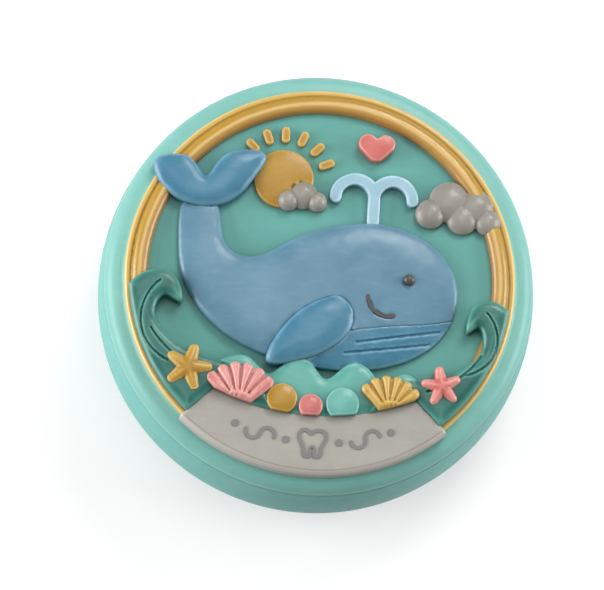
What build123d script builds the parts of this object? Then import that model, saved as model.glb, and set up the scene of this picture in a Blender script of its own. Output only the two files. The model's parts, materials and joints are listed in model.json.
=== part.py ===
from build123d import *
import os
from math import cos, radians, sin

# Baby tooth box: a round keepsake box in two castings, in millimetres.
# The base is a rounded bowl with one wide cavity. The lid stands on its rim, is centred by a
# spigot ring and lifts straight off. The lid's top carries a low relief: a ring, a banner
# plaque and a seascape. Each painted colour of the relief is a piece of its own.
# Origin: the middle of the foot, on the surface that the box stands on.
# +Z is up, and the banner is on the -Y side.

# Base
seam_radius = 35.6
wall_bulge = 0.8
foot_inset = 6.6
base_height = 20.5
shoulder_drop = 9.0
wall_thickness = 5.0
floor_thickness = 4.0
foot_recess_depth = 0.6
foot_band = 4.5
seam_round = 0.45
floor_round = 1.5

# Lid
lid_thickness = 3.5
side_height = 2.1
side_draft = 0.12
crest_round = 0.7
ledge_drop = 0.7
ledge_width = 1.4
spigot_clearance = 0.4
spigot_depth = 2.5
spigot_width = 2.5

# Ring on the lid
rim_band = 3.4
ring_width = 3.7
ring_height = 1.6

# Banner plaque
banner_overhang = 0.8
banner_half_angle = 41.5
banner_inner_half_angle = 40.2
banner_middle_width = 9.7
banner_end_width = 7.2
banner_rise = 2.3
banner_bevel = 0.6
banner_round = 0.35
lip_clearance = 0.06

# Marks painted on the banner
ink_width = 0.6
ink_height = 0.12
tooth_size = 2.6
curl_radius = 1.2
dot_radius = 0.6

# Seascape: heights above the panel, and how far domed tops fall towards their edges
relief_margin = 0.7
relief_crown = 1.0
small_crown = 0.5
whale_rise = 3.4
whale_crown = 2.0
belly_step = 0.3
fluke_rise = 2.9
flipper_rise = 4.4
eye_stand = 0.35
smile_width = 0.55
smile_stand = 0.06
inlay_depth = 0.6
groove_width = 0.5
groove_depth = 0.4
wave_rise = 3.2
swell_rise = 2.8
shell_rise = 4.3
rib_pitch_angle = 19.0
rib_depth = 0.6
starfish_rise = 4.1
pebble_rise = 3.9
spout_rise = 1.6
heart_rise = 2.2
sun_edge = 0.8
sun_rise = 1.5
ray_rise = 0.9
cloud_edge = 0.9
cloud_rise = 2.2
relief_round = 0.4

# How far a shape runs past what cuts it or what it cuts
overrun = 1.0

# Turns and counts
shell_ribs = 6
pink_shell_turn = 88
gold_shell_turn = 87
starfish_arms = 5
gold_starfish_turn = 75
coral_starfish_turn = 100
ray_count = 6
ray_pitch_angle = 22.5
first_ray_angle = 22.5
mark_pitch_angle = 7.4

# Outlines of the seascape, seen from above, as shares of relief_radius
whale_shares = (
    (0.72, -0.10), (0.68, 0.10), (0.52, 0.25), (0.28, 0.31), (0.02, 0.27), (-0.20, 0.17),
    (-0.37, 0.09), (-0.49, 0.13), (-0.54, 0.27), (-0.60, 0.41), (-0.71, 0.40), (-0.755, 0.21),
    (-0.72, -0.03), (-0.55, -0.27), (-0.27, -0.42), (0.08, -0.48), (0.42, -0.43), (0.64, -0.28),
)
belly_shares = (
    (0.80, -0.13), (0.62, -0.20), (0.40, -0.235), (0.16, -0.28), (-0.06, -0.35), (-0.22, -0.44),
    (-0.12, -0.54), (0.12, -0.58), (0.44, -0.54), (0.74, -0.36),
)
fluke_shares = (
    (-0.655, 0.35), (-0.76, 0.38), (-0.87, 0.47), (-0.90, 0.585), (-0.80, 0.62), (-0.70, 0.59),
    (-0.635, 0.51), (-0.565, 0.60), (-0.45, 0.665), (-0.325, 0.65), (-0.37, 0.53), (-0.48, 0.40),
)
flipper_shares = (
    (0.14, -0.13), (0.18, -0.24), (0.09, -0.36), (-0.09, -0.45), (-0.26, -0.46),
    (-0.22, -0.34), (-0.12, -0.21), (0.01, -0.12),
)
left_wave_shares = (
    (-0.60, -0.86), (-0.86, -0.66), (-1.00, -0.41), (-1.03, -0.20), (-0.96, -0.06), (-0.84, -0.015),
    (-0.745, -0.07), (-0.725, -0.175), (-0.80, -0.145), (-0.855, -0.22), (-0.80, -0.345),
    (-0.65, -0.44), (-0.47, -0.49), (-0.30, -0.60), (-0.22, -0.80),
)
right_wave_shares = (
    (0.62, -0.86), (0.88, -0.62), (1.00, -0.38), (1.02, -0.19), (0.94, -0.085), (0.84, -0.085),
    (0.785, -0.155), (0.785, -0.245), (0.83, -0.215), (0.865, -0.29), (0.80, -0.42),
    (0.64, -0.50), (0.47, -0.54), (0.34, -0.64), (0.26, -0.80),
)
swell_shares = (
    (-0.56, -0.52), (-0.46, -0.455), (-0.35, -0.45), (-0.25, -0.53), (-0.14, -0.455),
    (-0.03, -0.46), (0.05, -0.54), (0.16, -0.465), (0.27, -0.47), (0.35, -0.55), (0.45, -0.49),
    (0.53, -0.52), (0.56, -0.61), (0.38, -0.77), (0.0, -0.82), (-0.38, -0.77), (-0.56, -0.63),
)
tooth_shares = (
    (0.0, 0.62), (0.42, 0.80), (0.80, 0.62), (0.78, 0.12), (0.56, -0.36), (0.44, -0.86),
    (0.22, -0.90), (0.10, -0.42), (0.0, -0.26), (-0.10, -0.42), (-0.22, -0.90), (-0.44, -0.86),
    (-0.56, -0.36), (-0.78, 0.12), (-0.80, 0.62), (-0.42, 0.80),
)

# Strokes, each through three points, as shares of relief_radius
smile_stroke_shares = (((0.39, -0.185), (0.29, -0.17), (0.25, -0.09)),)
throat_stroke_shares = (
    ((0.635, -0.245), (0.42, -0.29), (0.20, -0.335)),
    ((0.59, -0.315), (0.38, -0.355), (0.14, -0.395)),
)
left_wave_stroke_shares = (
    ((-0.77, -0.50), (-0.925, -0.26), (-0.835, -0.075)),
    ((-0.60, -0.54), (-0.76, -0.45), (-0.87, -0.33)),
)
right_wave_stroke_shares = (
    ((0.78, -0.48), (0.935, -0.28), (0.875, -0.14)),
    ((0.58, -0.58), (0.74, -0.50), (0.86, -0.37)),
)

# Middles of the round and domed things, and the last number a radius, as shares of relief_radius
whale_middle_share = (-0.06, -0.05)
fluke_middle_share = (-0.62, 0.50)
flipper_middle_share = (-0.04, -0.29)
eye_share = (0.46, 0.01)
spout_share = (0.26, 0.30)
heart_share = (0.26, 0.70)
sun_share = (-0.22, 0.53)
spout_middle_share = (0.26, 0.46)
heart_middle_share = (0.26, 0.735)
pink_shell_share = (-0.395, -0.71)
gold_shell_share = (0.385, -0.705)
gold_starfish_share = (-0.665, -0.53)
coral_starfish_share = (0.655, -0.55)
gold_pebble_share = (-0.17, -0.665, 0.076)
pink_pebble_share = (-0.02, -0.695, 0.060)
aqua_pebble_share = (0.145, -0.675, 0.083)
large_cloud_shares = (
    (0.56, 0.39, 0.076), (0.66, 0.46, 0.108), (0.80, 0.44, 0.095), (0.865, 0.365, 0.068),
    (0.73, 0.375, 0.082),
)
small_cloud_shares = ((-0.19, 0.415, 0.054), (-0.112, 0.447, 0.072), (-0.038, 0.415, 0.050))

# Sizes of the motifs in plan, as shares of relief_radius
eye_radius_share = 0.0254
pink_shell_length_share = 0.19
gold_shell_length_share = 0.165
rib_gap_share = 0.0254
gold_starfish_radius_share = 0.124
coral_starfish_radius_share = 0.105
spout_width_share = 0.057
spout_stem_share = 0.15
spout_arm_radius_share = 0.1015
heart_lobe_share = 0.092
heart_length_share = 0.159
sun_radius_share = 0.1555
ray_gap_share = 0.0445
ray_length_share = 0.0825
ray_width_share = 0.038

# Spans over which the domed tops fall by their crown, as shares of relief_radius
whale_span_share = 0.78
fluke_span_share = 0.34
flipper_span_share = 0.26
starfish_span_share = 0.12
shell_span_share = 0.15
spout_span_share = 0.24
heart_span_share = 0.10

# Ring profile as shares of ring_width and ring_height
ring_inner_edge_share = (0.0, 0.22)
ring_ridge_share = (0.30, 1.0)
ring_valley_share = (0.70, 0.40)
ring_bead_share = (0.85, 0.60)
ring_outer_edge_share = (1.0, 0.32)

# Starfish arms as shares of the starfish's radius
arm_tip_share = 0.19
arm_root_share = 0.34

# Worked out from the sizes above
widest_radius = seam_radius + wall_bulge
widest_height = base_height - shoulder_drop
foot_radius = seam_radius - foot_inset
recess_radius = foot_radius - foot_band
cavity_radius = seam_radius - wall_thickness
lid_top = base_height + lid_thickness
crest_height = base_height + side_height
ledge_height = lid_top - ledge_drop
ring_outer = seam_radius - rim_band
ring_inner = ring_outer - ring_width
ledge_radius = ring_outer + ledge_width
spigot_outer = cavity_radius - spigot_clearance
spigot_inner = spigot_outer - spigot_width
banner_radius = ring_outer + banner_overhang
banner_end_radius = banner_radius - banner_end_width
relief_radius = ring_outer - relief_margin
panel_plane = Plane.XY.offset(lid_top)
belly_rise = whale_rise - belly_step
eye_radius = eye_radius_share * relief_radius
rib_gap = rib_gap_share * relief_radius
spout_width = spout_width_share * relief_radius
spout_arm_radius = spout_arm_radius_share * relief_radius
spout_stem = spout_stem_share * relief_radius
heart_lobe = heart_lobe_share * relief_radius
heart_length = heart_length_share * relief_radius
sun_radius = sun_radius_share * relief_radius
ray_length = ray_length_share * relief_radius
ray_width = ray_width_share * relief_radius
ray_middle = sun_radius + ray_gap_share * relief_radius + ray_length / 2


def place(share):
    """A point on the panel from its two shares of the relief's radius."""
    return (share[0] * relief_radius, share[1] * relief_radius)


def smooth_outline(shares):
    """A closed smooth outline through its points."""
    with BuildSketch() as outline:
        with BuildLine():
            Spline(*[place(share) for share in shares], periodic=True)
        make_face()
    return outline.sketch


def strokes(stroke_shares, width):
    """Curved strokes of one width, each through its three points."""
    with BuildSketch() as drawn:
        for start, middle, end in stroke_shares:
            SlotArc(ThreePointArc(place(start), place(middle), place(end)), width)
    return drawn.sketch


def dome(middle_share, span_share, crown, rise):
    """A large ball whose top stands `rise` above the panel and falls by `crown` over its span."""
    span = span_share * relief_radius
    ball_radius = (span**2 + crown**2) / (2 * crown)
    x, y = place(middle_share)
    with BuildPart() as ball:
        with Locations((x, y, lid_top + rise - ball_radius)):
            Sphere(ball_radius)
    return ball.part


def whale_dome(rise):
    """The ball that caps every piece of the whale's back and belly."""
    return dome(whale_middle_share, whale_span_share, whale_crown, rise)


def flat_piece(outline, rise):
    """A piece of the relief that stands on the panel, with rounded top edges."""
    with BuildPart() as piece:
        with BuildSketch(panel_plane):
            add(outline)
        extrude(amount=rise)
        fillet(piece.faces().sort_by(Axis.Z)[-1].edges(), relief_round)
    return piece.part


def domed_piece(outline, cap, rise):
    """A piece of the relief that stands on the panel, under a gently domed top."""
    with BuildPart() as piece:
        with BuildSketch(panel_plane):
            add(outline)
        extrude(amount=rise + overrun)
        add(cap, mode=Mode.INTERSECT)
    return piece.part


def column(outline):
    """All the room above an outline, from the panel to past the highest piece."""
    with BuildPart() as room:
        with BuildSketch(panel_plane):
            add(outline)
        extrude(amount=flipper_rise + overrun)
    return room.part


def puff(radius, edge, rise):
    """A round pad with an upright edge and a bulging top, standing on the panel."""
    with BuildPart() as pad:
        with BuildSketch(Plane.XZ):
            with BuildLine():
                Polyline((0, lid_top + rise), (0, lid_top), (radius, lid_top), (radius, lid_top + edge))
                TangentArc((0, lid_top + rise), (radius, lid_top + edge), tangent=(1, 0))
            make_face()
        revolve(axis=Axis.Z)
    return pad.part


def cloud(puff_shares):
    """Overlapping puffs."""
    with BuildPart() as puffs:
        for x_share, y_share, radius_share in puff_shares:
            with Locations(place((x_share, y_share))):
                add(puff(radius_share * relief_radius, cloud_edge, cloud_rise))
    return puffs.part


def pebble(pebble_share):
    """One round pebble."""
    x_share, y_share, radius_share = pebble_share
    with BuildPart() as stone:
        with Locations(place((x_share, y_share))):
            add(puff(radius_share * relief_radius, (swell_rise + pebble_rise) / 2, pebble_rise))
    return stone.part


def wave(outline_shares, stroke_shares):
    """A curling wave with strokes cut in its flat top, ending short of the ring's outer edge."""
    with BuildPart() as water:
        with BuildSketch(panel_plane):
            add(smooth_outline(outline_shares))
            Circle(relief_radius, mode=Mode.INTERSECT)
        extrude(amount=wave_rise)
        with BuildSketch(panel_plane.offset(wave_rise)):
            add(strokes(stroke_shares, groove_width))
        extrude(amount=-groove_depth, mode=Mode.SUBTRACT)
        add(banner_column, mode=Mode.SUBTRACT)
        add(ring.part, mode=Mode.SUBTRACT)
    return water.part


def fan_shell(hinge_share, turn, length_share):
    """A fan shell: scalloped round its far edge, with grooves that widen from the hinge."""
    length = length_share * relief_radius
    tip_radius = length * sin(radians(rib_pitch_angle / 2))
    half_fan = rib_pitch_angle * (shell_ribs - 1) / 2
    half_grooves = half_fan - rib_pitch_angle / 2
    middle_share = (
        hinge_share[0] + cos(radians(turn)) * length_share / 2,
        hinge_share[1] + sin(radians(turn)) * length_share / 2,
    )
    with BuildSketch() as fan:
        with Locations(place(hinge_share)):
            with PolarLocations(0, shell_ribs, turn - half_fan, 2 * half_fan, endpoint=True):
                with Locations((length / 2, 0)):
                    SlotCenterToCenter(length, 2 * tip_radius)
    with BuildPart() as grooves:
        with BuildSketch(panel_plane):
            with Locations(place(hinge_share)):
                with PolarLocations(0, shell_ribs - 1, turn - half_grooves, 2 * half_grooves, endpoint=True):
                    far = length + 2 * tip_radius
                    Polygon((0, 0), (far, -rib_gap / 2), (far, rib_gap / 2), align=None)
        extrude(amount=shell_rise + overrun)
        add(dome(middle_share, shell_span_share, small_crown, shell_rise - rib_depth), mode=Mode.SUBTRACT)
    with BuildPart() as shell:
        add(domed_piece(fan.sketch, dome(middle_share, shell_span_share, small_crown, shell_rise), shell_rise))
        add(grooves.part, mode=Mode.SUBTRACT)
    return shell.part


def starfish(middle_share, turn, radius_share):
    """A starfish: tapering arms with round tips under a domed top."""
    radius = radius_share * relief_radius
    tip_radius = radius * arm_tip_share
    root_half_width = radius * arm_root_share
    reach = radius - tip_radius
    arm = ((0, -root_half_width), (reach, -tip_radius), (reach, tip_radius), (0, root_half_width))
    with BuildSketch() as plan:
        with Locations(place(middle_share)):
            with PolarLocations(0, starfish_arms, turn):
                Polygon(*arm, align=None)
                with Locations((reach, 0)):
                    Circle(tip_radius)
    cap = dome(middle_share, starfish_span_share, small_crown, starfish_rise)
    return domed_piece(plan.sketch, cap, starfish_rise)


def throat_grooves():
    """The whale's throat grooves, from a little under the top of its belly upwards."""
    with BuildPart() as grooves:
        with BuildSketch(panel_plane):
            add(strokes(throat_stroke_shares, groove_width))
        extrude(amount=whale_rise + overrun)
        add(whale_dome(belly_rise - groove_depth), mode=Mode.SUBTRACT)
    return grooves.part


def tooth_mark():
    """The outline of a small tooth, drawn in ink."""
    with BuildSketch() as mark:
        with BuildLine():
            Spline(*[(x * tooth_size, y * tooth_size) for x, y in tooth_shares], periodic=True)
        trace(line_width=ink_width)
    return mark.sketch


def curl_mark():
    """Two half circles in ink, one up and one down, side by side along Y."""
    with BuildSketch() as mark:
        SlotArc(CenterArc((0, -curl_radius), curl_radius, -90, 180), ink_width)
        SlotArc(CenterArc((0, curl_radius), curl_radius, 90, 180), ink_width)
    return mark.sketch


# Base: a bowl with a foot ring
with BuildPart() as base:
    with BuildSketch(Plane.XZ):
        with BuildLine():
            Polyline(
                (0, foot_recess_depth),
                (recess_radius, foot_recess_depth),
                (recess_radius, 0),
                (foot_radius, 0),
            )
            EllipticalCenterArc(
                (foot_radius, widest_height),
                widest_radius - foot_radius,
                widest_height,
                start_angle=270,
                arc_size=90,
            )
            TangentArc((widest_radius, widest_height), (seam_radius, base_height), tangent=(0, 1))
            Polyline(
                (seam_radius, base_height),
                (cavity_radius, base_height),
                (cavity_radius, floor_thickness),
                (0, floor_thickness),
                (0, foot_recess_depth),
            )
        make_face()
    revolve(axis=Axis.Z)
    fillet(base.edges().group_by(Axis.Z)[-1], seam_round)
    cavity_floor = base.faces().filter_by(Axis.Z).group_by(Axis.Z)[-2]
    fillet(cavity_floor.edges(), floor_round)
base.part.label = "base"

# Lid: a plate with a raised panel, a shoulder at its rim and a spigot ring underneath
with BuildPart() as lid:
    with BuildSketch(Plane.XZ):
        with BuildLine():
            Polyline(
                (0, base_height),
                (spigot_inner, base_height),
                (spigot_inner, base_height - spigot_depth),
                (spigot_outer, base_height - spigot_depth),
                (spigot_outer, base_height),
                (seam_radius, base_height),
                (seam_radius - side_draft, crest_height),
                (ledge_radius, ledge_height),
                (ring_outer, ledge_height),
                (ring_outer, lid_top),
                (0, lid_top),
                close=True,
            )
        make_face()
    revolve(axis=Axis.Z)
    rim_edges = lid.edges().filter_by(GeomType.CIRCLE).group_by(SortBy.RADIUS)
    fillet(rim_edges[-1], seam_round)
    fillet(rim_edges[-2], crest_round)
lid.part.label = "lid"

# Banner plaque: a curved band over the front of the ring, with a lip down to the ledge
corner_x_share = sin(radians(banner_half_angle))
corner_y_share = -cos(radians(banner_half_angle))
inner_x_share = sin(radians(banner_inner_half_angle))
inner_y_share = -cos(radians(banner_inner_half_angle))
left_outer = (-banner_radius * corner_x_share, banner_radius * corner_y_share)
right_outer = (banner_radius * corner_x_share, banner_radius * corner_y_share)
left_inner = (-banner_end_radius * inner_x_share, banner_end_radius * inner_y_share)
right_inner = (banner_end_radius * inner_x_share, banner_end_radius * inner_y_share)
with BuildSketch() as banner_plan:
    with BuildLine():
        ThreePointArc(left_outer, (0, -banner_radius), right_outer)
        Line(right_outer, right_inner)
        ThreePointArc(right_inner, (0, banner_middle_width - banner_radius), left_inner)
        Line(left_inner, left_outer)
    make_face()
banner_column = column(banner_plan.sketch)
with BuildPart() as banner:
    with BuildSketch(Plane.XY.offset(ledge_height)):
        add(banner_plan.sketch)
    extrude(amount=ledge_drop + banner_rise)
    with BuildSketch(Plane.XY.offset(ledge_height)):
        Circle(ring_outer + lip_clearance)
    extrude(amount=ledge_drop, mode=Mode.SUBTRACT)
    front_edge = banner.faces().sort_by(Axis.Z)[-1].edges().sort_by(Axis.Y)[0]
    chamfer(front_edge, banner_bevel)
    fillet(banner.faces().sort_by(Axis.Z)[-1].edges(), banner_round)
banner.part.label = "banner"

# Marks on the banner: a small tooth between curls and dots, along the middle of the band
visible_radius = banner_radius - banner_bevel
middle_radius = visible_radius - (banner_middle_width - banner_bevel) / 2
end_radius = visible_radius - (banner_end_width - banner_bevel) / 2
mark_line = ThreePointArc(
    (-end_radius * corner_x_share, end_radius * corner_y_share),
    (0, -middle_radius),
    (end_radius * corner_x_share, end_radius * corner_y_share),
)
with BuildPart() as banner_marks:
    with BuildSketch(Plane.XY.offset(lid_top + banner_rise)):
        with Locations((0, -middle_radius)):
            add(tooth_mark())
        with Locations(mark_line.arc_center):
            for side in (-1, 1):
                with PolarLocations(mark_line.radius, 1, -90 + side * mark_pitch_angle):
                    Circle(dot_radius)
                with PolarLocations(mark_line.radius, 1, -90 + side * 2 * mark_pitch_angle):
                    add(curl_mark())
                with PolarLocations(mark_line.radius, 1, -90 + side * 3 * mark_pitch_angle):
                    Circle(dot_radius)
    extrude(amount=ink_height)
banner_marks.part.label = "banner_marks"

# Ring: a broad rounded ridge, a valley and a narrow outer bead, open where the banner lies
with BuildPart() as ring:
    with BuildSketch(Plane.XZ):
        profile = [
            (ring_inner + x_share * ring_width, lid_top + z_share * ring_height)
            for x_share, z_share in (
                ring_inner_edge_share,
                ring_ridge_share,
                ring_valley_share,
                ring_bead_share,
                ring_outer_edge_share,
            )
        ]
        with BuildLine():
            ThreePointArc(profile[0], profile[1], profile[2])
            ThreePointArc(profile[2], profile[3], profile[4])
            Polyline(profile[4], (ring_outer, lid_top), (ring_inner, lid_top), profile[0])
        make_face()
    revolve(axis=Axis.Z)
    add(banner_column, mode=Mode.SUBTRACT)
ring.part.label = "ring"

# Whale's flipper, in front of everything near it
with BuildPart() as whale_flipper:
    flipper_dome = dome(flipper_middle_share, flipper_span_share, relief_crown, flipper_rise)
    add(domed_piece(smooth_outline(flipper_shares), flipper_dome, flipper_rise))
whale_flipper.part.label = "whale_flipper"

# Sea: a curling wave on each side, and the swell between them
with BuildPart() as left_wave:
    add(wave(left_wave_shares, left_wave_stroke_shares))
left_wave.part.label = "left_wave"

with BuildPart() as right_wave:
    add(wave(right_wave_shares, right_wave_stroke_shares))
right_wave.part.label = "right_wave"

with BuildPart() as swell:
    add(flat_piece(smooth_outline(swell_shares), swell_rise))
    for front in (banner_column, ring.part, left_wave.part, right_wave.part, whale_flipper.part):
        add(front, mode=Mode.SUBTRACT)
swell.part.label = "swell"
swell_column = column(smooth_outline(swell_shares))
sea = (banner_column, ring.part, left_wave.part, right_wave.part, swell.part)

# Sea bed: shells, starfish and pebbles that lie on the waves, behind the banner
with BuildPart() as pink_shell:
    add(fan_shell(pink_shell_share, pink_shell_turn, pink_shell_length_share))
    for neighbour in sea:
        add(neighbour, mode=Mode.SUBTRACT)
pink_shell.part.label = "pink_shell"

with BuildPart() as gold_shell:
    add(fan_shell(gold_shell_share, gold_shell_turn, gold_shell_length_share))
    for neighbour in sea:
        add(neighbour, mode=Mode.SUBTRACT)
gold_shell.part.label = "gold_shell"

with BuildPart() as gold_starfish:
    add(starfish(gold_starfish_share, gold_starfish_turn, gold_starfish_radius_share))
    for neighbour in (*sea, pink_shell.part):
        add(neighbour, mode=Mode.SUBTRACT)
gold_starfish.part.label = "gold_starfish"

with BuildPart() as coral_starfish:
    add(starfish(coral_starfish_share, coral_starfish_turn, coral_starfish_radius_share))
    for neighbour in (*sea, gold_shell.part):
        add(neighbour, mode=Mode.SUBTRACT)
coral_starfish.part.label = "coral_starfish"

with BuildPart() as pink_pebble:
    add(pebble(pink_pebble_share))
    for neighbour in sea:
        add(neighbour, mode=Mode.SUBTRACT)
pink_pebble.part.label = "pink_pebble"

with BuildPart() as gold_pebble:
    add(pebble(gold_pebble_share))
    for neighbour in (*sea, pink_shell.part, pink_pebble.part):
        add(neighbour, mode=Mode.SUBTRACT)
gold_pebble.part.label = "gold_pebble"

with BuildPart() as aqua_pebble:
    add(pebble(aqua_pebble_share))
    for neighbour in (*sea, gold_shell.part, pink_pebble.part):
        add(neighbour, mode=Mode.SUBTRACT)
aqua_pebble.part.label = "aqua_pebble"

# Whale, from the front to the back. Its smile and eye are let a little way into its skin.
under_inlays = whale_dome(whale_rise - inlay_depth)
with BuildPart() as whale_smile:
    smile_cap = whale_dome(whale_rise + smile_stand)
    add(domed_piece(strokes(smile_stroke_shares, smile_width), smile_cap, whale_rise))
    add(under_inlays, mode=Mode.SUBTRACT)
whale_smile.part.label = "whale_smile"

with BuildPart() as whale_eye:
    with Locations(place(eye_share)):
        add(puff(eye_radius, whale_rise, whale_rise + eye_stand))
    add(under_inlays, mode=Mode.SUBTRACT)
whale_eye.part.label = "whale_eye"

with BuildSketch() as belly_plan:
    add(smooth_outline(belly_shares))
    add(smooth_outline(whale_shares), mode=Mode.INTERSECT)
with BuildPart() as whale_belly:
    add(domed_piece(belly_plan.sketch, whale_dome(belly_rise), belly_rise))
    add(throat_grooves(), mode=Mode.SUBTRACT)
    for front in (whale_flipper.part, whale_smile.part, swell_column, left_wave.part, right_wave.part):
        add(front, mode=Mode.SUBTRACT)
whale_belly.part.label = "whale_belly"

with BuildPart() as whale_fluke:
    fluke_dome = dome(fluke_middle_share, fluke_span_share, relief_crown, fluke_rise)
    add(domed_piece(smooth_outline(fluke_shares), fluke_dome, fluke_rise))
    add(ring.part, mode=Mode.SUBTRACT)
whale_fluke.part.label = "whale_fluke"

with BuildPart() as whale_body:
    add(domed_piece(smooth_outline(whale_shares), whale_dome(whale_rise), whale_rise))
    for front_piece in (whale_flipper, whale_smile, whale_eye, whale_fluke):
        add(front_piece.part, mode=Mode.SUBTRACT)
    for front in (column(belly_plan.sketch), swell_column, left_wave.part, right_wave.part):
        add(front, mode=Mode.SUBTRACT)
whale_body.part.label = "whale_body"

# Behind the whale: spout, heart, clouds and sun
spout_x, spout_y = place(spout_share)
with BuildSketch() as spout_plan:
    with Locations((spout_x, spout_y + spout_stem / 2)):
        Rectangle(spout_width, spout_stem)
    for side in (-1, 1):
        arm_start = (spout_x, spout_y + spout_stem)
        arm_top = (spout_x + side * spout_arm_radius, spout_y + spout_stem + spout_arm_radius)
        arm_end = (spout_x + side * 2 * spout_arm_radius, spout_y + spout_stem)
        SlotArc(ThreePointArc(arm_start, arm_top, arm_end), spout_width)
with BuildPart() as spout:
    spout_dome = dome(spout_middle_share, spout_span_share, small_crown, spout_rise)
    add(domed_piece(spout_plan.sketch, spout_dome, spout_rise))
    add(whale_body.part, mode=Mode.SUBTRACT)
spout.part.label = "spout"

with BuildSketch() as heart_plan:
    with Locations(place(heart_share)):
        for lean in (-1, 1):
            with Locations(Location((0, 0), 90 - lean * 45)):
                with Locations(((heart_length - heart_lobe) / 2, 0)):
                    SlotOverall(heart_length, heart_lobe)
with BuildPart() as heart:
    heart_dome = dome(heart_middle_share, heart_span_share, small_crown, heart_rise)
    add(domed_piece(heart_plan.sketch, heart_dome, heart_rise))
heart.part.label = "heart"

with BuildPart() as large_cloud:
    add(cloud(large_cloud_shares))
    add(ring.part, mode=Mode.SUBTRACT)
large_cloud.part.label = "large_cloud"

with BuildPart() as small_cloud:
    add(cloud(small_cloud_shares))
small_cloud.part.label = "small_cloud"

with BuildPart() as sun:
    with Locations(place(sun_share)):
        add(puff(sun_radius, sun_edge, sun_rise))
    for front_piece in (whale_fluke, small_cloud):
        add(front_piece.part, mode=Mode.SUBTRACT)
sun.part.label = "sun"

with BuildPart() as sun_rays:
    with BuildSketch(panel_plane):
        with Locations(place(sun_share)):
            ray_fan = ray_pitch_angle * (ray_count - 1)
            with PolarLocations(0, ray_count, first_ray_angle, ray_fan, endpoint=True):
                with Locations((ray_middle, 0)):
                    SlotOverall(ray_length, ray_width)
    extrude(amount=ray_rise)
    fillet(sun_rays.faces().group_by(Axis.Z)[-1].edges(), relief_round / 2)
    add(whale_fluke.part, mode=Mode.SUBTRACT)
sun_rays.part.label = "sun_rays"

pieces = (
    base, lid, ring, banner, banner_marks, whale_body, whale_belly, whale_fluke, whale_flipper,
    whale_eye, whale_smile, left_wave, right_wave, swell, pink_shell, gold_shell, gold_starfish,
    coral_starfish, pink_pebble, gold_pebble, aqua_pebble, spout, heart, sun, sun_rays,
    large_cloud, small_cloud,
)
os.makedirs("parts", exist_ok=True)
for piece in pieces:
    export_step(piece.part, "parts/" + piece.part.label + ".step")
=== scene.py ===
import json
import math

import bmesh
import bpy
import numpy
from mathutils import Matrix, Vector, noise
from mathutils.bvhtree import BVHTree


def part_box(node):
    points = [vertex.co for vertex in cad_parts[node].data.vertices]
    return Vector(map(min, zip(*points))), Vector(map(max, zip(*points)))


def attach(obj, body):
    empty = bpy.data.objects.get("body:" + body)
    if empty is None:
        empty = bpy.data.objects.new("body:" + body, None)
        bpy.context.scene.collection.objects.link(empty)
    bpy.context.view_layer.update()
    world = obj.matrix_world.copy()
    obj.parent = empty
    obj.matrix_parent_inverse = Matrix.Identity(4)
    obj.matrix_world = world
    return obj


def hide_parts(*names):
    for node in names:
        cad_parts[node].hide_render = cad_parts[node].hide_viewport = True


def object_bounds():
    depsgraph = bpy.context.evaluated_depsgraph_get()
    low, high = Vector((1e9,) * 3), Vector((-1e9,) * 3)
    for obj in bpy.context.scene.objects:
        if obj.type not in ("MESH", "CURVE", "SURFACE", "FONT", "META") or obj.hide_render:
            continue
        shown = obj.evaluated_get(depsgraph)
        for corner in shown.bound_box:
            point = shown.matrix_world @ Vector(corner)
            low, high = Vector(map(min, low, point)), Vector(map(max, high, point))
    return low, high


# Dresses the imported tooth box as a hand-painted resin casting on a white studio floor.
# Lengths are in metres.

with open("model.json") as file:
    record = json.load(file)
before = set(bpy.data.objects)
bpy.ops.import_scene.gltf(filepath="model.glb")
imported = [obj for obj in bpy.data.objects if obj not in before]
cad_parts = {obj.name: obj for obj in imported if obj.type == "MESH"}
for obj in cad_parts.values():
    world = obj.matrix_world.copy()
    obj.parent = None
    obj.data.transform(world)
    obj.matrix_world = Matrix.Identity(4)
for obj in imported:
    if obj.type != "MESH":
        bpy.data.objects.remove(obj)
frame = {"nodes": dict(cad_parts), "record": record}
cad_low, cad_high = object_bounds()
nodes = frame["nodes"]
frame_slots = {part["node"]: part["material_slot"] for part in frame["record"]["subparts"]}
MM = 0.001

# Heights and radii read from the frame
lid_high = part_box("lid")[1]
PANEL_Z = lid_high.z
RIM_RADIUS = lid_high.x
RING_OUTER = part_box("ring")[1].x
BANNER_OUTER = -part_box("banner")[0].y
SEAM_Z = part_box("base")[1].z

# Sizes of the solids that their boxes don't give
RING_WIDTH = 3.7 * MM
BANNER_BEVEL = 0.6 * MM
LEDGE_Z = PANEL_Z - 0.7 * MM

# The round that hand sanding leaves on the lid's shoulder: its reach inwards and its height
SHOULDER_WIDTH = 2.85 * MM
SHOULDER_HEIGHT = 2.4 * MM

# Limits of a face normal's z, by which faces are told apart
LOOKS_DOWN = -0.6
LOOKS_UP = 0.2
UPRIGHT = 0.4

WELD_REACH = 0.002 * MM
SLIVER_AREA = 1e-10
SINK_DEPTH = 0.8 * MM
PROBE_STEP = 0.25 * MM
OPEN_DROP = 0.5 * MM
SMOOTH_FACTOR = 0.5
WAVE_SIZE = 2.2 * MM
SEAM_GROWTH = 0.09 * MM
EDGE_ROUNDS = 4
LID_VOXEL = 0.33 * MM
LID_ROUNDS = 4


# Sculpting the relief and the lid

def linked(name, mesh, body):
    """A new object that holds a mesh and rides on a body."""
    piece = bpy.data.objects.new(name, mesh)
    bpy.context.scene.collection.objects.link(piece)
    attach(piece, body)
    return piece


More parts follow.
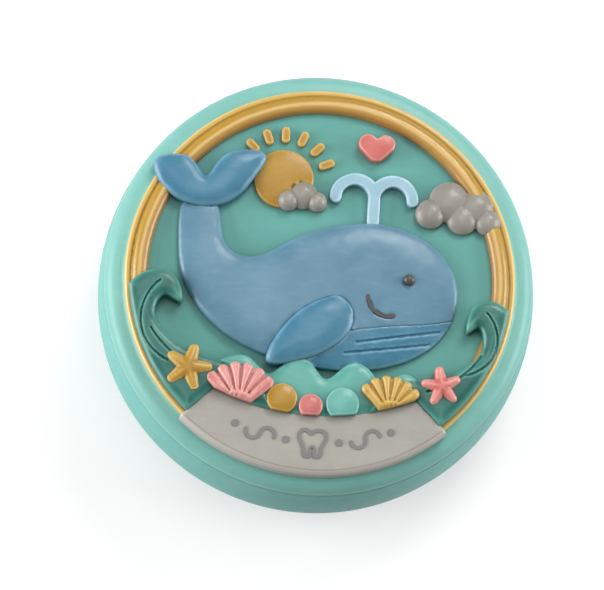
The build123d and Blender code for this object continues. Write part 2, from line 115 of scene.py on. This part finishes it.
def welded(mesh):
    """A copy of a mesh with its split edges joined."""
    sheet = bmesh.new()
    sheet.from_mesh(mesh)
    bmesh.ops.remove_doubles(sheet, verts=sheet.verts, dist=WELD_REACH)
    done = bpy.data.meshes.new(mesh.name + "_welded")
    sheet.to_mesh(done)
    sheet.free()
    return done


def apply_modifiers(piece):
    """Bakes an object's modifiers into its mesh."""
    graph = bpy.context.evaluated_depsgraph_get()
    graph.update()
    done = bpy.data.meshes.new_from_object(piece.evaluated_get(graph))
    piece.modifiers.clear()
    piece.data = done


def remesh(piece, voxel):
    """Rebuilds an object's surface from even voxels."""
    modifier = piece.modifiers.new("remesh", "REMESH")
    modifier.mode = "VOXEL"
    modifier.voxel_size = voxel
    apply_modifiers(piece)


def smooth(piece, rounds):
    """Softens an object's surface."""
    modifier = piece.modifiers.new("smooth", "SMOOTH")
    modifier.factor = SMOOTH_FACTOR
    modifier.iterations = rounds
    apply_modifiers(piece)


def shown_as(piece, name):
    """Shows a finished form in the place of a node's solid."""
    piece.data.shade_smooth()
    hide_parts(name)
    return piece


def tree_of(mesh, faces):
    """A search tree over some of a mesh's faces."""
    points = [vertex.co.copy() for vertex in mesh.vertices]
    return BVHTree.FromPolygons(points, [tuple(mesh.polygons[i].vertices) for i in faces])


def top_tree(mesh):
    """A search tree over the faces that look up."""
    return tree_of(mesh, [polygon.index for polygon in mesh.polygons if polygon.normal.z > LOOKS_UP])


def sink_underside(mesh):
    """Moves every face that looks down into what carries it, so that no gap shows after smoothing."""
    low = set()
    for polygon in mesh.polygons:
        if polygon.normal.z < LOOKS_DOWN:
            low.update(polygon.vertices)
    for index in low:
        mesh.vertices[index].co.z -= SINK_DEPTH


solids = {name: welded(node.data) for name, node in nodes.items() if name not in ("base", "lid")}
cover_trees = [
    top_tree(mesh) for name, mesh in solids.items() if name not in ("ring", "banner_marks", "sun_rays")
]


def top_at(place, trees):
    """The highest of some pieces at a place of the panel, or the panel itself."""
    start = Vector((place.x, place.y, cad_high.z + MM))
    hits = [tree.ray_cast(start, Vector((0, 0, -1)))[0] for tree in trees]
    return max([hit.z for hit in hits if hit is not None], default=PANEL_Z)


def open_walls(name):
    """A search tree over the walls of a piece whose upper edge stands free, if it has any."""
    mesh = solids[name]
    own = top_tree(mesh)
    walls = []
    for polygon in mesh.polygons:
        if abs(polygon.normal.z) > UPRIGHT or polygon.area < SLIVER_AREA:
            continue
        inside = polygon.center - polygon.normal * PROBE_STEP
        outside = polygon.center + polygon.normal * PROBE_STEP
        if top_at(outside, cover_trees) < top_at(inside, [own]) - OPEN_DROP:
            walls.append(polygon.index)
    return tree_of(mesh, walls) if walls else None


def puff_up(piece, walls, depth, edge_share, width):
    """Lets a piece swell from its open edges: its upper part grows from a share there to the whole inside."""
    high = max(vertex.co.z for vertex in piece.data.vertices)
    low = max(PANEL_Z, high - depth)
    for vertex in piece.data.vertices:
        height = vertex.co.z - low
        if height <= 0:
            continue
        found = walls.find_nearest(vertex.co)
        reach = min(math.hypot(found[0].x - vertex.co.x, found[0].y - vertex.co.y) / width, 1.0)
        swell = math.sqrt(1 - (1 - reach) ** 2)
        vertex.co.z = low + height * (edge_share + (1 - edge_share) * swell)


def roughen(piece, waves):
    """Adds the small waves of a hand-made pattern, and a little growth sideways that closes seams."""
    normals = [vertex.normal.copy() for vertex in piece.data.vertices]
    for vertex, normal in zip(piece.data.vertices, normals):
        vertex.co += normal * noise.noise(vertex.co / WAVE_SIZE) * waves
        vertex.co += Vector((normal.x, normal.y, 0)) * SEAM_GROWTH


def mark_edges(mesh):
    """Stores how sharply each place stands out (above 0) or lies in a hollow (below 0), per mm of radius."""
    count = len(mesh.vertices)
    places = numpy.empty(count * 3)
    mesh.vertices.foreach_get("co", places)
    places = places.reshape(-1, 3)
    normals = numpy.empty(count * 3)
    mesh.vertices.foreach_get("normal", normals)
    ends = numpy.empty(len(mesh.edges) * 2, dtype=numpy.int32)
    mesh.edges.foreach_get("vertices", ends)
    first, second = ends.reshape(-1, 2).T
    links = numpy.maximum(numpy.bincount(ends, minlength=count), 1)

    def around(values):
        """The mean of the neighbours' values."""
        from_second = numpy.bincount(first, values[second], count)
        from_first = numpy.bincount(second, values[first], count)
        return (from_second + from_first) / links

    middles = numpy.stack([around(places[:, axis]) for axis in range(3)], axis=1)
    span = ((places[first] - places[second]) ** 2).sum(axis=1).mean()
    stand = ((places - middles) * normals.reshape(-1, 3)).sum(axis=1) / span
    for _ in range(EDGE_ROUNDS):
        stand = (stand + around(stand)) / 2
    mesh.attributes.new("edge", "FLOAT", "POINT").data.foreach_set("value", stand * MM)


def sculpted(name, voxel, rounds, puff=None, waves=0.05 * MM):
    """Rebuilds a node's solid as a smooth moulded form and shows it in the node's place."""
    piece = linked(name + "_form", solids[name].copy(), "lid")
    sink_underside(piece.data)
    remesh(piece, voxel)
    walls = open_walls(name) if puff else None
    if walls:
        puff_up(piece, walls, *puff)
    smooth(piece, rounds)
    roughen(piece, waves)
    mark_edges(piece.data)
    return shown_as(piece, name)


def lid_shell():
    """The lid's solid with its shoulder sanded to one broad round, in the lid's place."""
    piece = linked("lid_form", welded(nodes["lid"].data), "lid")
    remesh(piece, LID_VOXEL)
    inner_radius, low_z = RIM_RADIUS - SHOULDER_WIDTH, LEDGE_Z - SHOULDER_HEIGHT
    for vertex in piece.data.vertices:
        radius = math.hypot(vertex.co.x, vertex.co.y)
        across = (radius - inner_radius) / SHOULDER_WIDTH
        up = (vertex.co.z - low_z) / SHOULDER_HEIGHT
        beyond = math.hypot(across, up)
        if min(across, up) > 0 and beyond > 1:
            shrink = (inner_radius + across / beyond * SHOULDER_WIDTH) / radius
            height = low_z + up / beyond * SHOULDER_HEIGHT
            vertex.co = (vertex.co.x * shrink, vertex.co.y * shrink, height)
    smooth(piece, LID_ROUNDS)
    return shown_as(piece, "lid")


# How each piece of the relief is sculpted. A puff is the depth that swells, the share of it that is left at
# the edge, and the width of the swell. The whole depth is more than any piece stands above the panel.
WHOLE = 9 * MM
WAVE_PUFF = (WHOLE, 0.72, 1.8 * MM)
SHELL_PUFF = (1.3 * MM, 0.35, 1.0 * MM)
STARFISH_PUFF = (1.3 * MM, 0.30, 1.5 * MM)
FORMS = {
    "ring": {"voxel": 0.15 * MM, "rounds": 2, "waves": 0.02 * MM},
    "banner": {"voxel": 0.20 * MM, "rounds": 4, "waves": 0.012 * MM},
    "whale_body": {"voxel": 0.26 * MM, "rounds": 8, "puff": (WHOLE, 0.50, 5.0 * MM)},
    "whale_belly": {"voxel": 0.18 * MM, "rounds": 4, "puff": (WHOLE, 0.50, 5.0 * MM)},
    "whale_fluke": {"voxel": 0.20 * MM, "rounds": 8, "puff": (WHOLE, 0.60, 3.0 * MM)},
    "whale_flipper": {"voxel": 0.20 * MM, "rounds": 8, "puff": (WHOLE, 0.75, 3.0 * MM)},
    "left_wave": {"voxel": 0.16 * MM, "rounds": 5, "puff": WAVE_PUFF},
    "right_wave": {"voxel": 0.16 * MM, "rounds": 5, "puff": WAVE_PUFF},
    "swell": {"voxel": 0.20 * MM, "rounds": 8, "puff": (WHOLE, 0.70, 2.5 * MM)},
    "pink_shell": {"voxel": 0.13 * MM, "rounds": 4, "puff": SHELL_PUFF},
    "gold_shell": {"voxel": 0.13 * MM, "rounds": 4, "puff": SHELL_PUFF},
    "gold_starfish": {"voxel": 0.13 * MM, "rounds": 6, "puff": STARFISH_PUFF},
    "coral_starfish": {"voxel": 0.13 * MM, "rounds": 6, "puff": STARFISH_PUFF},
    "pink_pebble": {"voxel": 0.14 * MM, "rounds": 4},
    "gold_pebble": {"voxel": 0.14 * MM, "rounds": 4},
    "aqua_pebble": {"voxel": 0.14 * MM, "rounds": 4},
    "spout": {"voxel": 0.15 * MM, "rounds": 9},
    "heart": {"voxel": 0.15 * MM, "rounds": 10},
    "sun": {"voxel": 0.18 * MM, "rounds": 6},
    "sun_rays": {"voxel": 0.13 * MM, "rounds": 5},
    "large_cloud": {"voxel": 0.18 * MM, "rounds": 5},
    "small_cloud": {"voxel": 0.16 * MM, "rounds": 5},
}
forms = {name: sculpted(name, **how) for name, how in FORMS.items()}
forms["lid"] = lid_shell()


# Materials

WHITE = (1, 1, 1, 1)


def srgb(red, green, blue):
    """A colour given as it is seen, turned to the values that the shader takes."""
    def level(value):
        value /= 255
        return value / 12.92 if value <= 0.04045 else ((value + 0.055) / 1.055) ** 2.4
    return (level(red), level(green), level(blue), 1.0)


class Builder:
    """Builds a node tree."""

    # Sockets that a mix node uses for colours
    MIX_FACTOR, MIX_FIRST, MIX_SECOND, MIX_RESULT = 0, 6, 7, 2

    def __init__(self, tree):
        self.tree = tree

    def link(self, value, socket):
        """Feeds a socket with a value or with another node's output."""
        if isinstance(value, bpy.types.NodeSocket):
            self.tree.links.new(value, socket)
        else:
            socket.default_value = value

    def feed(self, made, **inputs):
        """Feeds a node's inputs by name, with _ for a space."""
        for key, value in inputs.items():
            self.link(value, made.inputs[key.replace("_", " ")])

    def node(self, kind, properties=(), **inputs):
        """Adds a node, sets its properties, feeds its inputs and gives it back."""
        made = self.tree.nodes.new("ShaderNode" + kind)
        for key, value in dict(properties).items():
            setattr(made, key, value)
        self.feed(made, **inputs)
        return made

    def arithmetic(self, operation, *values, kind="Math", output=0):
        """One step of arithmetic on some values."""
        made = self.node(kind, {"operation": operation})
        for value, socket in zip(values, made.inputs):
            self.link(value, socket)
        return made.outputs[output]

    def plus(self, first, second):
        """The sum of two values."""
        return self.arithmetic("ADD", first, second)

    def times(self, first, second):
        """The product of two values."""
        return self.arithmetic("MULTIPLY", first, second)

    def ranged(self, value, span, result=(0.0, 1.0)):
        """Maps a span of values to another one, and is level beyond its ends."""
        made = self.node("MapRange", Value=value, From_Min=span[0], From_Max=span[1])
        self.feed(made, To_Min=result[0], To_Max=result[1])
        return made.outputs["Result"]

    def mixed(self, factor, first, second):
        """Mixes two colours."""
        made = self.node("Mix", {"data_type": "RGBA"})
        self.link(factor, made.inputs[self.MIX_FACTOR])
        self.link(first, made.inputs[self.MIX_FIRST])
        self.link(second, made.inputs[self.MIX_SECOND])
        return made.outputs[self.MIX_RESULT]

    def banded(self, value, span, stops):
        """Colours laid side by side over a span of a value. The first stop is at 0 and the last one at 1."""
        made = self.node("ValToRGB", Fac=self.ranged(value, span))
        ramp = made.color_ramp
        ramp.interpolation = "EASE"
        ramp.elements[0].color = stops[0][1]
        ramp.elements[1].color = stops[-1][1]
        for place, tone in stops[1:-1]:
            ramp.elements.new(place).color = tone
        return made.outputs["Color"]


# Scales of the paint's noise, in patches per metre
DAB_SCALE = 150.0
STREAK_SCALE = 380.0
STREAK_STRETCH = (1.0, 3.0, 1.0)
GLOSS_SCALE = 700.0
GRAIN_SCALE = 1500.0
UNEVEN_SCALE = 300.0

# Where the marked edges count as a hollow, painted in shade, or as a ridge, painted as a highlight, and how
# open a place is that the wash and painted shade reach
HOLLOW_SPAN = (-0.10, -0.60)
HOLLOW_SHARE = 0.7
RIDGE_SPAN = (0.14, 0.65)
WASH_AND_SHADE_SPAN = (0.40, 0.90)
WASH_AND_SHADE_SAMPLES = 8

# The gloss varies from less rough than the paint's own roughness to rougher
GLOSS_SPAN = (0.3, 0.7)
LESS_ROUGH = 0.04
MORE_ROUGH = 0.08

# Pits, and heights as shares of the bump's distance
PIT_SPACING = 5.0 * MM
PIT_SIZE = 0.11 * MM
PIT_CHANCE = 0.12
PIT_DARKNESS = 0.6
PIT_HEIGHT = -0.4
UNEVEN_HEIGHT = 0.8
BUMP_STRENGTH = 0.5
BUMP_DISTANCE = 0.06 * MM
COAT_ROUGHNESS = 0.23
SPECULAR_OVER_COAT = 0.15


class Paint(Builder):
    """Satin hand paint over cast resin."""

    def __init__(self, name):
        self.material = bpy.data.materials.new(name)
        self.material.use_nodes = True
        super().__init__(self.material.node_tree)
        self.shader = self.tree.nodes["Principled BSDF"]
        self.place = self.node("TexCoord").outputs["Object"]

    def radius(self):
        """Distance from the box's upright axis."""
        flat = self.arithmetic("MULTIPLY", self.place, (1, 1, 0), kind="VectorMath")
        return self.arithmetic("LENGTH", flat, kind="VectorMath", output="Value")

    def cloud(self, scale, detail=3.0, stretch=None):
        """Soft noise in the object's space, stretched where asked. The scale is in patches per metre."""
        place = self.place
        if stretch:
            place = self.node("Mapping", Vector=place, Scale=stretch).outputs["Vector"]
        return self.node("TexNoise", Vector=place, Scale=scale, Detail=detail).outputs["Fac"]

    def loose_radius(self, scale, amount):
        """The radius as a brush held by hand follows it."""
        return self.plus(self.radius(), self.times(self.cloud(scale), amount))

    def dabbed(self, tone, light, span, share, **cloud):
        """A tone with soft dabs of a lighter one where the noise runs over a span."""
        return self.mixed(self.ranged(self.cloud(**cloud), span, (0.0, share)), tone, light)

    def pinholes(self):
        """Sparse tiny pits: 1 in the middle of one, 0 elsewhere."""
        cells = self.node("TexVoronoi", Vector=self.place, Scale=1 / PIT_SPACING)
        near = self.ranged(cells.outputs["Distance"], (0.0, PIT_SIZE / PIT_SPACING), (1.0, 0.0))
        chance = self.node("SeparateColor", Color=cells.outputs["Color"]).outputs["Red"]
        return self.times(near, self.arithmetic("LESS_THAN", chance, PIT_CHANCE))

    def finish(
        self, colour, light, deep, *, wash_and_shade_reach, wash_and_shade_depth, edge_highlight, roughness, coat, grain=0.25
    ):
        """Joins colour, light dabs, a dark wash with painted shade, painted highlights on edges, pits, gloss
        and grain.
        """
        tone = self.dabbed(colour, light, span=(0.38, 0.70), share=0.20, scale=DAB_SCALE)
        tone = self.dabbed(
            tone, light, span=(0.50, 0.78), share=0.12, scale=STREAK_SCALE, detail=2.0, stretch=STREAK_STRETCH
        )
        # Darkens hollows, seams and the panel beside the relief by occlusion: partly a wash of paint, partly
        # painted shade
        openness = self.node("AmbientOcclusion", {"samples": WASH_AND_SHADE_SAMPLES}, Distance=wash_and_shade_reach).outputs["AO"]
        tone = self.mixed(self.ranged(openness, WASH_AND_SHADE_SPAN, (wash_and_shade_depth, 0.0)), tone, deep)
        # Painted shade in the hollows and painted highlights on the ridges, by the curvature marked on the mesh
        edge_curvature = self.node("Attribute", {"attribute_name": "edge"}).outputs["Fac"]
        tone = self.mixed(self.ranged(edge_curvature, HOLLOW_SPAN, (0.0, HOLLOW_SHARE * wash_and_shade_depth)), tone, deep)
        tone = self.mixed(self.ranged(edge_curvature, RIDGE_SPAN, (0.0, edge_highlight)), tone, light)
        pits = self.pinholes()
        tone = self.mixed(self.times(pits, PIT_DARKNESS), tone, deep)
        gloss = self.ranged(
            self.cloud(GLOSS_SCALE, detail=4.0), GLOSS_SPAN, (roughness - LESS_ROUGH, roughness + MORE_ROUGH)
        )
        relief = self.plus(self.times(self.cloud(GRAIN_SCALE), grain), self.times(pits, PIT_HEIGHT))
        relief = self.plus(relief, self.times(self.cloud(UNEVEN_SCALE, detail=2.0), UNEVEN_HEIGHT))
        bump = self.node("Bump", Strength=BUMP_STRENGTH, Distance=BUMP_DISTANCE, Height=relief)
        self.feed(
            self.shader,
            Base_Color=tone,
            Roughness=gloss,
            Normal=bump.outputs["Normal"],
            Coat_Normal=bump.outputs["Normal"],
            Specular_IOR_Level=coat + SPECULAR_OVER_COAT,
            Coat_Weight=coat,
            Coat_Roughness=COAT_ROUGHNESS,
        )
        return self.material


# Each paint as it looks: colour, light tone (dabs and painted highlights), dark tone (wash, painted shade and
# pits)
PAINTS = {
    "aqua_paint": ((127, 189, 180), (152, 208, 199), (80, 142, 132)),
    "teal_aqua_paint": ((104, 174, 162), (146, 208, 196), (58, 124, 114)),
    "gold_paint": ((172, 129, 40), (218, 182, 100), (126, 88, 24)),
    "banner_grey_paint": ((162, 159, 151), (196, 192, 184), (130, 125, 117)),
    "ink_grey_paint": ((124, 117, 118), (136, 130, 130), (104, 98, 100)),
    "whale_blue_paint": ((90, 132, 154), (140, 180, 200), (56, 94, 118)),
    "deep_blue_paint": ((66, 123, 150), (130, 180, 202), (38, 84, 112)),
    "dark_green_paint": ((34, 99, 89), (98, 166, 152), (18, 64, 58)),
    "sea_green_paint": ((84, 160, 148), (142, 208, 196), (46, 112, 103)),
    "pink_paint": ((198, 108, 102), (232, 170, 162), (150, 68, 66)),
    "coral_paint": ((202, 104, 96), (234, 162, 152), (154, 64, 60)),
    "cloud_grey_paint": ((142, 137, 128), (186, 182, 172), (92, 88, 80)),
    "pale_blue_paint": ((144, 184, 200), (190, 220, 230), (90, 136, 158)),
    "eye_paint": ((84, 74, 72), (112, 100, 96), (56, 49, 48)),
}
PANEL_TEAL = srgb(94, 162, 153)
PANEL_LIGHT = srgb(114, 184, 175)
PANEL_DEEP = srgb(60, 120, 112)
# Painted highlight along the lid's lower edge
SEAM_HIGHLIGHT = srgb(176, 214, 194)
BOWL_AQUA = srgb(117, 189, 181)
TAN_LINE = srgb(146, 126, 108)
# Painted highlight on the banner's bevel
BEVEL_HIGHLIGHT_GREY = srgb(196, 192, 183)

# These bands are partly the gold's wash and partly painted light: painted shade on the slope and in the groove,
# painted highlights on the ridge and the edge.
# The gold ring from its inner edge to its outer one: brown slope, light ridge, deep groove, light edge.
# The shift makes up for the noise that loosens the bands, which only adds to the radius.
RING_LIGHT_AND_SHADE_BANDS = (
    (0.0, srgb(168, 121, 56)),
    (0.20, srgb(188, 145, 72)),
    (0.36, srgb(214, 177, 106)),
    (0.48, srgb(184, 143, 54)),
    (0.76, srgb(176, 135, 36)),
    (0.86, srgb(204, 162, 72)),
    (1.0, srgb(232, 198, 120)),
)
RING_SHIFT = 0.12 * MM
RING_LIGHT_SHARE = 0.4
RING_DEEP_SHARE = 0.5

# Spans of radius or height over which one paint gives way to another, or to a painted highlight
PANEL_BORDER = (RING_OUTER - 1.0 * MM, RING_OUTER - 0.7 * MM)
SEAM_HIGHLIGHT_BORDER = (SEAM_Z + 1.5 * MM, SEAM_Z + 0.3 * MM)
SEAM_HIGHLIGHT_SHARE = 0.75
BEVEL_BORDER = (BANNER_OUTER - BANNER_BEVEL, BANNER_OUTER - 0.8 * BANNER_BEVEL)
TAN_RADIUS = BANNER_OUTER - BANNER_BEVEL - 0.02 * MM
TAN_REACH = 0.10 * MM
TAN_SHARE = 0.75


def tones(slot):
    """A paint's colour, light tone and dark tone for the wash and painted shade, for the shader."""
    return [srgb(*tone) for tone in PAINTS[slot]]


def paint(slot):
    """One paint of the record, over the whole of a piece."""
    return Paint(slot).finish(
        *tones(slot), wash_and_shade_reach=1.1 * MM, wash_and_shade_depth=0.65, edge_highlight=0.75, roughness=0.36, coat=0.25
    )


def ring_paint():
    """The gold of the ring, brushed round it in bands that carry painted shade and painted highlights."""
    made = Paint("gold_paint_ring")
    _, light, deep = tones("gold_paint")
    loose = made.loose_radius(scale=260.0, amount=0.25 * MM)
    bands = made.banded(loose, (RING_OUTER - RING_WIDTH + RING_SHIFT, RING_OUTER + RING_SHIFT), RING_LIGHT_AND_SHADE_BANDS)
    return made.finish(
        bands,
        made.mixed(RING_LIGHT_SHARE, bands, light),
        made.mixed(RING_DEEP_SHARE, bands, deep),
        wash_and_shade_reach=1.0 * MM, wash_and_shade_depth=0.25, edge_highlight=0.5, roughness=0.31, coat=0.35,
    )


def banner_paint():
    """The banner's grey, made paler on the bevel by a painted highlight, with a fine tan line along the bevel's
    upper edge.
    """
    made = Paint("banner_grey_paint_plaque")
    colour, light, deep = tones("banner_grey_paint")
    loose = made.loose_radius(scale=300.0, amount=0.12 * MM)
    line = made.arithmetic("COMPARE", loose, TAN_RADIUS, TAN_REACH)
    # Painted highlight: the bevel is painted paler, as the light falling on it would make it
    ground = made.mixed(made.ranged(made.radius(), BEVEL_BORDER), colour, BEVEL_HIGHLIGHT_GREY)
    ground = made.mixed(made.times(line, TAN_SHARE), ground, TAN_LINE)
    return made.finish(
        ground, light, deep,
        wash_and_shade_reach=1.1 * MM, wash_and_shade_depth=0.6, edge_highlight=0.7, roughness=0.42, coat=0.14, grain=0.2,
    )


def lid_paint():
    """The lid's aqua, with a deeper teal laid loosely on the panel inside the ring, and a pale painted
    highlight along the lower edge.
    """
    made = Paint("aqua_paint_lid")
    colour, light, deep = tones("aqua_paint")
    outside = made.ranged(made.loose_radius(scale=160.0, amount=0.4 * MM), PANEL_BORDER)
    height = made.node("SeparateXYZ", Vector=made.place).outputs["Z"]
    # Painted highlight: the lower edge above the seam is painted pale
    low = made.ranged(height, SEAM_HIGHLIGHT_BORDER, (0.0, SEAM_HIGHLIGHT_SHARE))
    return made.finish(
        made.mixed(low, made.mixed(outside, PANEL_TEAL, colour), SEAM_HIGHLIGHT),
        made.mixed(outside, PANEL_LIGHT, light),
        made.mixed(outside, PANEL_DEEP, deep),
        wash_and_shade_reach=1.6 * MM, wash_and_shade_depth=0.5, edge_highlight=0.0, roughness=0.42, coat=0.14,
    )


def base_paint():
    """The same aqua, a little deeper and duller in gloss, over the whole bowl."""
    _, light, deep = tones("aqua_paint")
    return Paint("aqua_paint_bowl").finish(
        BOWL_AQUA, light, deep, wash_and_shade_reach=1.6 * MM, wash_and_shade_depth=0.5, edge_highlight=0.0, roughness=0.48, coat=0.06
    )


paints = {slot: paint(slot) for slot in PAINTS}
paints.update(ring=ring_paint(), banner=banner_paint(), lid=lid_paint(), base=base_paint())


def dress(piece, material):
    """Gives a piece one material."""
    piece.data.materials.clear()
    piece.data.materials.append(material)


for name, node in nodes.items():
    material = paints.get(name, paints[frame_slots[name]])
    if name in forms:
        dress(forms[name], material)
    else:
        for slot in node.material_slots:
            slot.material = material


# Studio

FLOOR_REACH = 3.0
FLOOR_SEEN = (0.62, 0.62, 0.62, 1)
FLOOR_UNSEEN = (0.25, 0.25, 0.25, 1)
FLOOR_LIFT = 0.47
FAR_SPAN = (0.10, 0.45)
FAR_LIFT = 0.45
WORLD_FILL = 0.20
LIGHT_TARGET = Vector((0, 0, 0.02))

floor_mesh = bpy.data.meshes.new("floor")
corners = [(x * FLOOR_REACH, y * FLOOR_REACH, 0) for x, y in ((-1, -1), (1, -1), (1, 1), (-1, 1))]
floor_mesh.from_pydata(corners, [], [(0, 1, 2, 3)])
floor = bpy.data.objects.new("floor", floor_mesh)
bpy.context.scene.collection.objects.link(floor)


def floor_paint():
    """Matt white, lifted for camera and mirror rays so that only the soft shadow shows, and more so far off."""
    made = Paint("floor_white")
    rays = made.node("LightPath")
    camera_ray = rays.outputs["Is Camera Ray"]
    seen = made.arithmetic("MAXIMUM", camera_ray, rays.outputs["Is Glossy Ray"])
    far = made.ranged(made.radius(), FAR_SPAN, (0.0, FAR_LIFT))
    made.feed(
        made.shader,
        Base_Color=made.mixed(seen, FLOOR_UNSEEN, FLOOR_SEEN),
        Emission_Strength=made.plus(made.times(seen, FLOOR_LIFT), made.times(far, camera_ray)),
        Emission_Color=WHITE,
        Roughness=1.0,
        Specular_IOR_Level=0.0,
    )
    return made.material


dress(floor, floor_paint())

# The sky is white where the camera sees it, and a dim fill for all other rays
world = bpy.data.worlds.new("studio")
bpy.context.scene.world = world
world.use_nodes = True
sky = Builder(world.node_tree)
sky_seen = sky.node("LightPath").outputs["Is Camera Ray"]
sky_level = sky.arithmetic("MULTIPLY_ADD", sky_seen, 1 - WORLD_FILL, WORLD_FILL)
sky.feed(world.node_tree.nodes["Background"], Color=WHITE, Strength=sky_level)


def softbox(name, place, width, height, power):
    """A soft light that looks at the box, with its width level."""
    light = bpy.data.lights.new(name, "AREA")
    light.shape = "RECTANGLE"
    light.size = width
    light.size_y = height
    light.energy = power
    lamp = bpy.data.objects.new(name, light)
    lamp.location = place
    lamp.rotation_euler = (LIGHT_TARGET - Vector(place)).to_track_quat("-Z", "Y").to_euler()
    bpy.context.scene.collection.objects.link(lamp)


softbox("key", (0.20, 0.44, 0.50), width=0.30, height=0.22, power=2.0)
softbox("over", (-0.06, 0.12, 0.66), width=0.40, height=0.40, power=0.8)
softbox("left", (-0.56, -0.04, 0.20), width=0.50, height=0.28, power=3.8)
softbox("right", (0.58, 0.06, 0.22), width=0.40, height=0.26, power=2.5)

# Camera, fitted to ring, rim, banner and outline in the photograph. The scale is in pixels per metre at the
# ring's upper edge, and the ring's centre is where it lies in the picture.
CAMERA_ELEVATION = math.radians(76.1)
CAMERA_AZIMUTH = math.radians(-11.5)
CAMERA_ROLL = math.radians(14.9)
CAMERA_DISTANCE = 0.721
RING_SCALE_PX = 6.073 / MM
IMAGE_WIDTH, IMAGE_HEIGHT = 604, 590
RING_CENTRE_PX = (320.4, 279.0)
RING_EDGE_Z = 24.9 * MM
SENSOR_WIDTH = 36.0

camera_data = bpy.data.cameras.new("camera")
camera_data.sensor_fit = "HORIZONTAL"
camera_data.sensor_width = SENSOR_WIDTH
camera_data.lens = SENSOR_WIDTH * (RING_SCALE_PX * CAMERA_DISTANCE) / IMAGE_WIDTH
camera = bpy.data.objects.new("camera", camera_data)
bpy.context.scene.collection.objects.link(camera)
bpy.context.scene.camera = camera

# The camera's own directions: back points from the box to the camera
back = Vector(
    (
        math.sin(CAMERA_AZIMUTH) * math.cos(CAMERA_ELEVATION),
        -math.cos(CAMERA_AZIMUTH) * math.cos(CAMERA_ELEVATION),
        math.sin(CAMERA_ELEVATION),
    )
)
level_right = Vector((math.cos(CAMERA_AZIMUTH), math.sin(CAMERA_AZIMUTH), 0))
level_up = back.cross(level_right)
right = level_right * math.cos(CAMERA_ROLL) + level_up * math.sin(CAMERA_ROLL)
up = level_up * math.cos(CAMERA_ROLL) - level_right * math.sin(CAMERA_ROLL)
aim = (
    Vector((0, 0, RING_EDGE_Z))
    - right * (RING_CENTRE_PX[0] - IMAGE_WIDTH / 2) / RING_SCALE_PX
    + up * (RING_CENTRE_PX[1] - IMAGE_HEIGHT / 2) / RING_SCALE_PX
)
turn = Matrix((right, up, back)).transposed().to_4x4()
camera.matrix_world = Matrix.Translation(aim + back * CAMERA_DISTANCE) @ turn

bpy.context.scene.view_settings.view_transform = "Standard"
